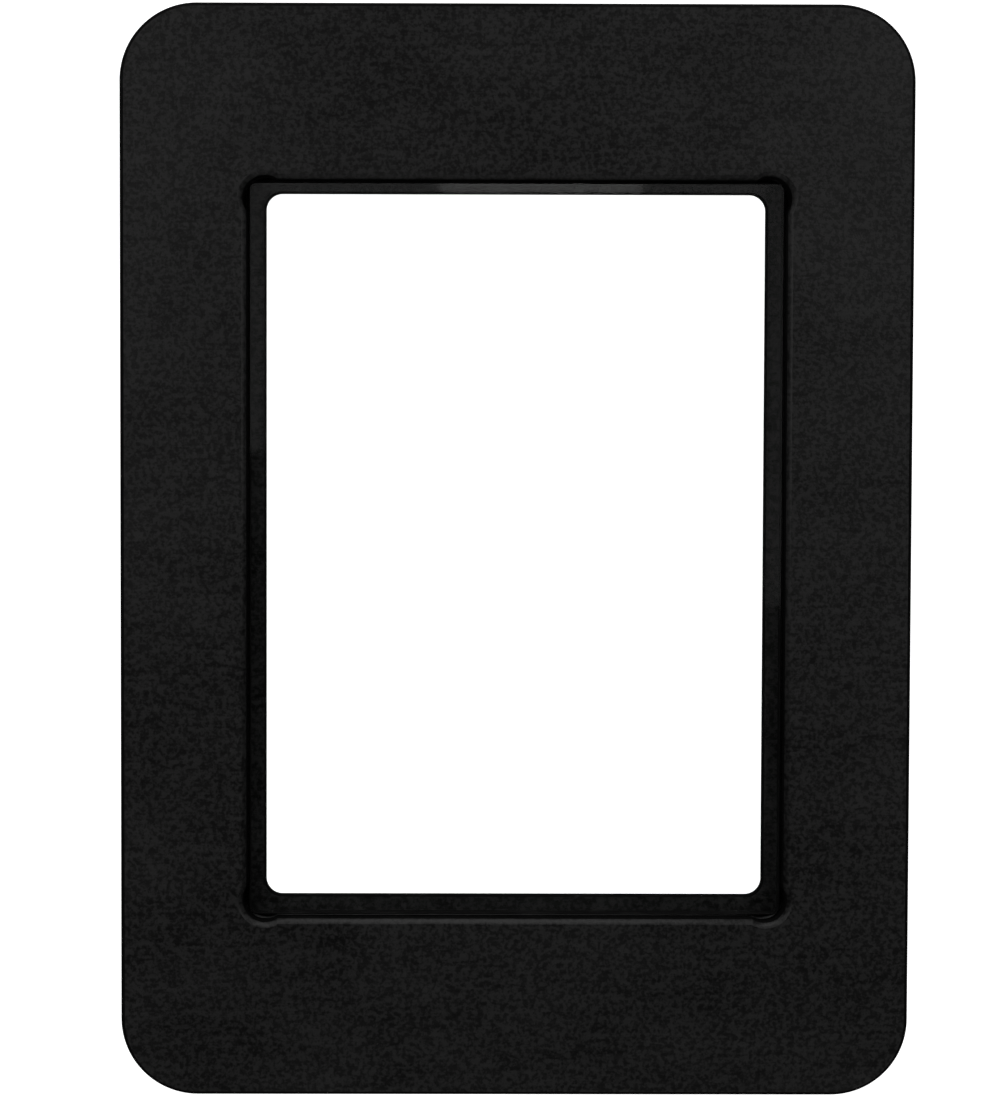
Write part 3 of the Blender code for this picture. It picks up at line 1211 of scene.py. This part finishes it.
def pane_tree():
    """Pane of glass: the profile of its ground edge swept round its outline, and two faces."""
    tree, given, out = start_tree(
        "ground_pane",
        [
            ("Width", "NodeSocketFloat"),
            ("Length", "NodeSocketFloat"),
            ("Thickness", "NodeSocketFloat"),
            ("Corner Radius", "NodeSocketFloat"),
            ("Corner Steps", "NodeSocketInt"),
            ("Arris", "NodeSocketFloat"),
            ("Middle", "NodeSocketVector"),
            ("Weld", "NodeSocketFloat"),
            ("Upper Face", "NodeSocketMaterial"),
            ("Under Face", "NodeSocketMaterial"),
            ("Edge", "NodeSocketMaterial"),
        ],
    )
    arris = given["Arris"]
    twice = math_node(tree, "MULTIPLY", arris, 2.0)
    half = math_node(tree, "MULTIPLY", given["Thickness"], 0.5)
    wall = math_node(tree, "SUBTRACT", half, arris)
    rectangle = add(
        tree,
        "GeometryNodeCurvePrimitiveQuadrilateral",
        {
            "Width": math_node(tree, "SUBTRACT", given["Width"], twice),
            "Height": math_node(tree, "SUBTRACT", given["Length"], twice),
        },
    )
    path = add(
        tree,
        "GeometryNodeFilletCurve",
        {
            "Curve": rectangle.outputs[0],
            "Count": given["Corner Steps"],
            "Radius": math_node(tree, "SUBTRACT", given["Corner Radius"], arris),
        },
        mode="POLY",
    )
    flat = add(tree, "GeometryNodeSetCurveNormal", {"Curve": path.outputs[0]}, mode="Z_UP")
    below = math_node(tree, "MULTIPLY", half, -1.0)
    wall_below = math_node(tree, "MULTIPLY", wall, -1.0)
    profile = polyline(tree, [(0.0, below), (arris, wall_below), (arris, wall), (0.0, half)])
    edge = add(
        tree,
        "GeometryNodeCurveToMesh",
        {"Curve": flat.outputs[0], "Profile Curve": profile},
    )
    face = add(tree, "GeometryNodeFillCurve", {"Curve": path.outputs[0]}, mode="NGONS")
    joined = add(tree, "GeometryNodeJoinGeometry", {0: edge.outputs[0]})
    for height in (half, below):
        lift = add(tree, "ShaderNodeCombineXYZ", {"Z": height})
        moved = add(
            tree,
            "GeometryNodeTransform",
            {"Geometry": face.outputs[0], "Translation": lift.outputs[0]},
        )
        if height is below:
            moved = add(tree, "GeometryNodeFlipFaces", {0: moved.outputs[0]})
        tree.links.new(moved.outputs[0], joined.inputs[0])
    welded = add(
        tree,
        "GeometryNodeMergeByDistance",
        {"Geometry": joined.outputs[0], "Distance": given["Weld"]},
    )
    in_place = add(
        tree,
        "GeometryNodeTransform",
        {"Geometry": welded.outputs[0], "Translation": given["Middle"]},
    )
    real = add(tree, "GeometryNodeRealizeInstances", {0: in_place.outputs[0]})
    normal = add(tree, "ShaderNodeSeparateXYZ", {0: add(tree, "GeometryNodeInputNormal").outputs[0]})
    upright = normal.outputs["Z"]
    last = real.outputs[0]
    for label, operation, limit in (
        ("Edge", "LESS_THAN", 2.0),
        ("Upper Face", "GREATER_THAN", 0.99),
        ("Under Face", "LESS_THAN", -0.99),
    ):
        chosen = math_node(tree, operation, upright, limit)
        last = add(
            tree,
            "GeometryNodeSetMaterial",
            {"Geometry": last, "Selection": chosen, "Material": given[label]},
        ).outputs[0]
    tree.links.new(last, out.inputs[0])
    return tree


def turned_set_tree():
    """Round pieces with rounded ends, standing in rows and columns."""
    tree, given, out = start_tree(
        "turned_set",
        [
            ("Radius", "NodeSocketFloat"),
            ("Height", "NodeSocketFloat"),
            ("Top Round", "NodeSocketFloat"),
            ("Foot Round", "NodeSocketFloat"),
            ("Sides", "NodeSocketInt"),
            ("Rings", "NodeSocketInt"),
            ("Columns", "NodeSocketInt"),
            ("Rows", "NodeSocketInt"),
            ("Across", "NodeSocketFloat"),
            ("Along", "NodeSocketFloat"),
            ("Foot", "NodeSocketVector"),
            ("Finish", "NodeSocketMaterial"),
        ],
    )
    radius, height = given["Radius"], given["Height"]
    axis = add(
        tree,
        "GeometryNodeCurvePrimitiveLine",
        {"End": add(tree, "ShaderNodeCombineXYZ", {"Z": height}).outputs[0]},
    )
    stepped = add(
        tree,
        "GeometryNodeResampleCurve",
        {"Curve": axis.outputs[0], "Count": given["Rings"]},
    )
    # Rings crowd towards both ends, where the rounding is
    share = math_node(
        tree,
        "DIVIDE",
        add(tree, "GeometryNodeInputIndex").outputs[0],
        math_node(tree, "SUBTRACT", given["Rings"], 1.0),
    )
    swing = math_node(tree, "COSINE", math_node(tree, "MULTIPLY", share, math.pi))
    crowded = math_node(tree, "SUBTRACT", 0.5, math_node(tree, "MULTIPLY", swing, 0.5))
    lift = add(tree, "ShaderNodeCombineXYZ", {"Z": math_node(tree, "MULTIPLY", crowded, height)})
    spine = add(
        tree,
        "GeometryNodeSetPosition",
        {"Geometry": stepped.outputs[0], "Position": lift.outputs[0]},
    )
    level = add(
        tree, "ShaderNodeSeparateXYZ", {0: add(tree, "GeometryNodeInputPosition").outputs[0]}
    ).outputs["Z"]
    to_top = math_node(tree, "SUBTRACT", height, level)
    reach = radius
    for distance, rounding in ((to_top, given["Top Round"]), (level, given["Foot Round"])):
        short = math_node(tree, "SUBTRACT", rounding, distance)
        short = math_node(tree, "MAXIMUM", short, 0.0)
        squares = math_node(
            tree,
            "SUBTRACT",
            math_node(tree, "MULTIPLY", rounding, rounding),
            math_node(tree, "MULTIPLY", short, short),
        )
        width = math_node(tree, "SQRT", math_node(tree, "MAXIMUM", squares, 0.0))
        drawn_in = math_node(tree, "SUBTRACT", rounding, width)
        reach = math_node(tree, "SUBTRACT", reach, drawn_in)
    circle = add(
        tree,
        "GeometryNodeCurvePrimitiveCircle",
        {"Resolution": given["Sides"], "Radius": 1.0},
    )
    turned = add(
        tree,
        "GeometryNodeCurveToMesh",
        {
            "Curve": spine.outputs[0],
            "Profile Curve": circle.outputs[0],
            "Scale": reach,
            "Fill Caps": True,
        },
    )
    places = add(
        tree,
        "GeometryNodeMeshGrid",
        {
            "Size X": given["Across"],
            "Size Y": given["Along"],
            "Vertices X": given["Columns"],
            "Vertices Y": given["Rows"],
        },
    )
    seated = add(
        tree,
        "GeometryNodeTransform",
        {"Geometry": places.outputs[0], "Translation": given["Foot"]},
    )
    stood = add(
        tree,
        "GeometryNodeInstanceOnPoints",
        {"Points": seated.outputs[0], "Instance": turned.outputs[0]},
    )
    real = add(tree, "GeometryNodeRealizeInstances", {0: stood.outputs[0]})
    painted = add(
        tree,
        "GeometryNodeSetMaterial",
        {"Geometry": real.outputs[0], "Material": given["Finish"]},
    )
    tree.links.new(painted.outputs[0], out.inputs[0])
    return tree


GEOMETRY_TREES = {"ground_pane": pane_tree, "turned_set": turned_set_tree}


def grown(name, tree_name, values):
    """Plain mesh piece that a geometry tree makes from named values."""
    tree = bpy.data.node_groups.get(tree_name) or GEOMETRY_TREES[tree_name]()
    piece = placed(name, bpy.data.meshes.new(name))
    modifier = piece.modifiers.new(tree_name, "NODES")
    modifier.node_group = tree
    sockets = {s.name: s.identifier for s in tree.interface.items_tree if s.in_out == "INPUT"}
    for label, value in values.items():
        modifier[sockets[label]] = value
    made_plain(piece)
    if not piece.data.polygons:
        raise RuntimeError(f"{name}: its tree made nothing")
    shade(piece)
    return piece


# --- Operators -----------------------------------------------------------------------------


class CARRIER_OT_lower_plate(bpy.types.Operator):
    """Builds the lower plate, with its ledge, film window, notches and drilled face"""

    bl_idname = "carrier.lower_plate"
    bl_label = "Lower Plate"

    def execute(self, context):
        sizes = context.scene.carrier_plates
        base, top = LOWER_PLATE[0].z, LOWER_PLATE[1].z
        ledge = sizes.ledge_height
        outside = partial(plate_edge, sizes, notched=True)
        opening = partial(opening_edge, sizes)
        window = partial(window_edge, sizes)
        rim = partial(rim_rings, sizes.rim_steps)

        # Up the outside, down the opening's wall, over the ledge and down the window
        # The outer chamfers and walls, the opening's walls and the window's chamfers and walls take
        # the near-black paint: painted shade.
        rings = rim(outside, sizes.edge_chamfer, base, UP, PAINTED_RIM)
        rings += reversed(rim(outside, sizes.edge_chamfer, top, DOWN, PAINTED_RIM))
        rings += rim(opening, sizes.edge_chamfer, top, DOWN, (BRUSHED, MILLED, SHADE_PAINTED))
        rings += fillet_rings(opening, sizes.root_fillet, ledge)
        rings += rim(window, sizes.window_chamfer, ledge, DOWN, (MILLED, SHADE_PAINTED, SHADE_PAINTED))
        rings += reversed(rim(window, sizes.window_chamfer, base, UP, PAINTED_RIM))
        drills = drill_mesh("lower_drills", sizes, top, UP)
        plate = drilled_plate("lower_plate_anodised", rings, drills)
        hand_over(plate, "lower_frame", ["lower_plate"])
        return {"FINISHED"}


class CARRIER_OT_upper_plate(bpy.types.Operator):
    """Builds the upper plate, with its full opening and its drilled underside"""

    bl_idname = "carrier.upper_plate"
    bl_label = "Upper Plate"

    def execute(self, context):
        sizes = context.scene.carrier_plates
        base, top = UPPER_PLATE[0].z, UPPER_PLATE[1].z
        outside = partial(plate_edge, sizes, notched=False)
        opening = partial(opening_edge, sizes)
        rim = partial(rim_rings, sizes.rim_steps)

        # Up the outside and down the opening's wall
        # The outer chamfers and walls and the opening's walls take the near-black paint: painted
        # shade.
        rings = rim(outside, sizes.edge_chamfer, base, UP, PAINTED_RIM)
        rings += reversed(rim(outside, sizes.top_chamfer, top, DOWN, PAINTED_RIM))
        rings += rim(opening, sizes.top_chamfer, top, DOWN, (BRUSHED, BRUSHED, SHADE_PAINTED))
        rings += reversed(rim(opening, sizes.edge_chamfer, base, UP, (BRUSHED, MILLED, SHADE_PAINTED)))
        drills = drill_mesh("upper_drills", sizes, base, DOWN)
        plate = drilled_plate("upper_plate_anodised", rings, drills)
        hand_over(plate, "upper_frame", ["upper_plate"])
        return {"FINISHED"}


class CARRIER_OT_panes(bpy.types.Operator):
    """Builds the clear lower pane and the upper pane with its etched underside"""

    bl_idname = "carrier.panes"
    bl_label = "Panes"

    def execute(self, context):
        sizes = context.scene.carrier_glass
        lower = ("lower_pane_clear", "lower_pane", "clear_glass", "lower_glass", "polished_glass")
        upper = ("upper_pane_etched", "upper_pane", "etched_glass", "upper_glass", "satin_etch")
        for name, body, slot, node, underside in (lower, upper):
            low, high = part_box(node)
            pane = grown(
                name,
                "ground_pane",
                {
                    "Width": high.x - low.x,
                    "Length": high.y - low.y,
                    "Thickness": high.z - low.z,
                    "Corner Radius": sizes.corner_radius,
                    "Corner Steps": sizes.corner_steps,
                    "Arris": sizes.arris,
                    "Middle": (low + high) / 2,
                    "Weld": WELD,
                    "Upper Face": finish("polished_glass"),
                    "Under Face": finish(underside),
                    # The ink on the panes' edges is partly painted shade for the dark band along the
                    # walls.
                    "Edge": finish("inked_edge_and_shade"),
                },
            )
            hand_over(pane, body, [node])
        return {"FINISHED"}


def turned_set(name, nodes, top_round, foot_round, material, body):
    """Set of like round pieces on one body, in the places of their solids."""
    sizes = bpy.context.scene.carrier_hardware
    low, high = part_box(nodes[0])
    middles = [node_middle(node) for node in nodes]
    left, right = min(m.x for m in middles), max(m.x for m in middles)
    near, far = min(m.y for m in middles), max(m.y for m in middles)
    piece = grown(
        name,
        "turned_set",
        {
            "Radius": (high.x - low.x) / 2,
            "Height": high.z - low.z,
            "Top Round": top_round,
            "Foot Round": foot_round,
            "Sides": sizes.sides,
            "Rings": sizes.rings,
            "Columns": HARDWARE_COLUMNS,
            "Rows": len(nodes) // HARDWARE_COLUMNS,
            "Across": right - left,
            "Along": far - near,
            "Foot": Vector(((left + right) / 2, (near + far) / 2, low.z)),
            "Finish": finish(material),
        },
    )
    hand_over(piece, body, nodes)


class CARRIER_OT_dowels(bpy.types.Operator):
    """Builds the four locating dowels"""

    bl_idname = "carrier.dowels"
    bl_label = "Dowels"

    def execute(self, context):
        sizes = context.scene.carrier_hardware
        turned_set(
            "locating_dowel_set",
            DOWELS,
            sizes.dowel_nose,
            sizes.dowel_foot,
            "ground_steel",
            "lower_frame",
        )
        return {"FINISHED"}


class CARRIER_OT_magnets(bpy.types.Operator):
    """Builds the disc magnets of both plates"""

    bl_idname = "carrier.magnets"
    bl_label = "Magnets"

    def execute(self, context):
        edge = context.scene.carrier_hardware.magnet_edge
        for name, nodes, body in (
            ("lower_magnet_set", LOWER_MAGNETS, "lower_frame"),
            ("upper_magnet_set", UPPER_MAGNETS, "upper_frame"),
        ):
            turned_set(name, nodes, edge, edge, "nickel_plate", body)
        return {"FINISHED"}


# --- Studio --------------------------------------------------------------------------------

Softbox = namedtuple("Softbox", "name place aim width height watts")

# Lamps round the carrier light its faces. The ceiling panels look straight down, and their
# reflections in the upper pane fall on the ledge but not on the window's edges.
SOFTBOXES = (
    Softbox("far_softbox", (-0.10, 1.15, 1.00), (0.0, 0.0, 0.0), 1.4, 0.8, 0.2),
    Softbox("far_window", (-0.10, 1.90, 0.60), (0.0, 0.0, 0.0), 2.4, 0.7, 22.0),
    Softbox("left_softbox", (-0.90, 0.35, 1.00), (0.0, 0.0, 0.0), 0.7, 0.8, 4.6),
    Softbox("right_softbox", (0.95, 0.35, 1.00), (0.0, 0.0, 0.0), 0.7, 0.8, 4.5),
    Softbox("near_softbox", (0.00, -1.20, 1.00), (0.0, 0.0, 0.0), 1.2, 0.8, 1.5),
    Softbox("near_window", (0.00, -1.90, 0.60), (0.0, 0.0, 0.0), 2.4, 0.7, 5.0),
    Softbox("left_ceiling", (-0.59, 0.33, 1.60), (-0.59, 0.33, 0.0), 0.70, 0.66, 0.26),
    Softbox("right_strip", (0.432, 0.23, 1.60), (0.432, 0.23, 0.0), 0.026, 0.86, 0.011),
    Softbox("far_strip", (0.00, 0.374, 1.60), (0.00, 0.374, 0.0), 1.10, 0.072, 0.080),
    Softbox("middle_strip", (0.12, 0.372, 1.59), (0.12, 0.372, 0.0), 0.26, 0.072, 0.040),
)


SENSOR_WIDTH = 36.0    # mm, on the camera's long side
FLOOR_DROP = 0.05 * MM
FLOOR_SIDES = 96
WHITE = (1.0, 1.0, 1.0, 1.0)
FLOOR_GREY = (0.60, 0.60, 0.60)
FLOOR_DARK = (0.58, 0.58, 0.58, 1.0)
FLOOR_LIGHT = (0.62, 0.62, 0.62, 1.0)
FLOOR_BOUNCE = (0.04, 0.04, 0.04, 1.0)    # what the floor sends back onto the carrier


def studio_floor(settings):
    """Pale matt floor that stays white under the lamps."""
    material, tree, shader, place = start_material(
        "studio_floor", FLOOR_GREY, Roughness=0.9, Specular_IOR_Level=0.1
    )
    patches = group_node(tree, "Satin Grain", place, grain_size=4 * MM, patch_size=0.5)["Patches"]
    tone = mixed(tree, patches, FLOOR_DARK, FLOOR_LIGHT)
    # The floor is pale straight on or through the panes, but it sends little light back
    path = add(tree, "ShaderNodeLightPath").outputs
    seen = math_node(tree, "MAXIMUM", path["Is Camera Ray"], path["Is Transmission Ray"])
    tone = mixed(tree, seen, FLOOR_BOUNCE, tone)
    tree.links.new(tone, shader.inputs["Base Color"])
    shader.inputs["Emission Color"].default_value = WHITE
    glow = math_node(tree, "MULTIPLY", seen, settings.floor_glow)
    tree.links.new(glow, shader.inputs["Emission Strength"])
    mesh = bpy.data.meshes.new("studio_floor")
    shape = bmesh.new()
    bmesh.ops.create_circle(
        shape, cap_ends=True, segments=FLOOR_SIDES, radius=settings.floor_radius
    )
    shape.to_mesh(mesh)
    shape.free()
    mesh.materials.append(material)
    floor = bpy.data.objects.new("studio_floor", mesh)
    floor.location.z = LOWER_PLATE[0].z - FLOOR_DROP
    bpy.context.scene.collection.objects.link(floor)


def studio_world(settings):
    """White room to look at, and a dim one to be lit by."""
    world = bpy.data.worlds.new("studio_room")
    world.use_nodes = True
    tree = world.node_tree
    seen = add(tree, "ShaderNodeLightPath").outputs["Is Camera Ray"]
    strength = remap(tree, seen, 0.0, 1.0, settings.surround, 1.0)
    background = tree.nodes["Background"]
    background.inputs["Color"].default_value = WHITE
    tree.links.new(strength, background.inputs["Strength"])
    bpy.context.scene.world = world


def studio_softboxes():
    """The lamps, each turned to face its aim."""
    for box in SOFTBOXES:
        lamp = bpy.data.lights.new(box.name, "AREA")
        lamp.shape = "RECTANGLE"
        lamp.size = box.width
        lamp.size_y = box.height
        lamp.energy = box.watts
        holder = bpy.data.objects.new(box.name, lamp)
        holder.location = box.place
        to_aim = Vector(box.aim) - Vector(box.place)
        holder.rotation_euler = to_aim.to_track_quat("-Z", "Y").to_euler()
        bpy.context.scene.collection.objects.link(holder)


def studio_camera(settings):
    """Camera above the carrier, at the photograph's angle and distance."""
    lens = bpy.data.cameras.new("photo_camera")
    lens.sensor_width = SENSOR_WIDTH
    lens.lens = settings.camera_lens
    lens.shift_x, lens.shift_y = settings.camera_shift
    lens.clip_start = 10 * MM
    camera = bpy.data.objects.new("photo_camera", lens)
    camera.location = settings.camera_place
    camera.rotation_euler = Euler(settings.camera_turn)
    scene = bpy.context.scene
    scene.collection.objects.link(camera)
    scene.camera = camera
    scene.view_settings.view_transform = "Standard"


class CARRIER_OT_studio(bpy.types.Operator):
    """Sets up the floor, the softboxes and the camera"""

    bl_idname = "carrier.studio"
    bl_label = "Studio"

    def execute(self, context):
        settings = context.scene.carrier_studio
        studio_floor(settings)
        studio_world(settings)
        studio_softboxes()
        studio_camera(settings)
        return {"FINISHED"}


# --- Panel and registration ----------------------------------------------------------------

PIECE_OPERATORS = (
    CARRIER_OT_lower_plate,
    CARRIER_OT_upper_plate,
    CARRIER_OT_panes,
    CARRIER_OT_dowels,
    CARRIER_OT_magnets,
    CARRIER_OT_studio,
)

SETTINGS = {
    "carrier_plates": CarrierPlateSizes,
    "carrier_glass": CarrierGlassSizes,
    "carrier_hardware": CarrierHardwareSizes,
    "carrier_finishes": CarrierFinishes,
    "carrier_studio": CarrierStudio,
}


class CARRIER_PT_panel(bpy.types.Panel):
    """Lists the carrier's settings and the buttons that build it"""

    bl_idname = "CARRIER_PT_panel"
    bl_label = "Negative Carrier"
    bl_space_type = "VIEW_3D"
    bl_region_type = "UI"
    bl_category = "Carrier"

    def draw(self, context):
        for operator in PIECE_OPERATORS:
            self.layout.operator(operator.bl_idname)
        for name in SETTINGS:
            box = self.layout.box()
            box.label(text=name.replace("_", " ").title())
            settings = getattr(context.scene, name)
            for key in settings.__annotations__:
                box.prop(settings, key)


def register():
    for name, group in SETTINGS.items():
        bpy.utils.register_class(group)
        setattr(bpy.types.Scene, name, PointerProperty(type=group))
    for operator in PIECE_OPERATORS:
        bpy.utils.register_class(operator)
    bpy.utils.register_class(CARRIER_PT_panel)


def unregister():
    bpy.utils.unregister_class(CARRIER_PT_panel)
    for operator in reversed(PIECE_OPERATORS):
        bpy.utils.unregister_class(operator)
    for name, group in reversed(SETTINGS.items()):
        delattr(bpy.types.Scene, name)
        bpy.utils.unregister_class(group)


def main():
    register()
    bpy.ops.carrier.lower_plate()
    bpy.ops.carrier.upper_plate()
    bpy.ops.carrier.panes()
    bpy.ops.carrier.dowels()
    bpy.ops.carrier.magnets()
    bpy.ops.carrier.studio()


if __name__ == "__main__":
    main()
